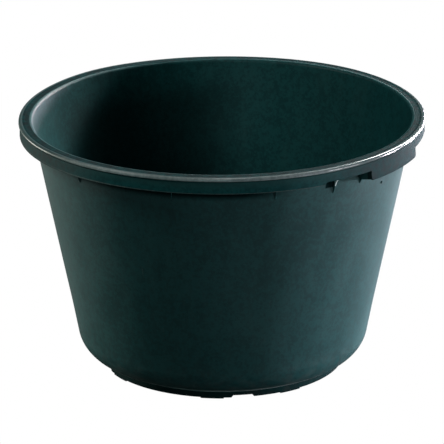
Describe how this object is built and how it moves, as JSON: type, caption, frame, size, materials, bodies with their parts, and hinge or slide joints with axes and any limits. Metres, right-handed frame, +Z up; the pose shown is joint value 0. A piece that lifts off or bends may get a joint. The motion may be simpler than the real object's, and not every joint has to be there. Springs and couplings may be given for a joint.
{
  "type": "mortar mixing tub",
  "caption": "Round tapered plastic mixing tub with a rolled rim, two moulded hand grips under it, stiffening gussets, a notched foot ring and low floor pads.",
  "frame": {"origin": "on the floor under the centre of the base", "axes": "+Z up through the middle of the opening; the two hand grips lie on +X and -X; the two long runs of skirt face +Y and -Y"},
  "size_m": [0.6, 0.6, 0.38],
  "materials": {
    "tub_plastic": "dark green-black polyethylene, satin as moulded, scuffed"
  },
  "bodies": {
    "root": {"side_wall": "tub_plastic", "base_corner": "tub_plastic", "base_plate": "tub_plastic", "rim_lip": "tub_plastic", "rim_skirt": "tub_plastic", "hand_grip_right": "tub_plastic", "hand_grip_left": "tub_plastic", "rim_gussets": "tub_plastic", "foot_ring": "tub_plastic", "floor_pads": "tub_plastic"}
  },
  "joints": []
}
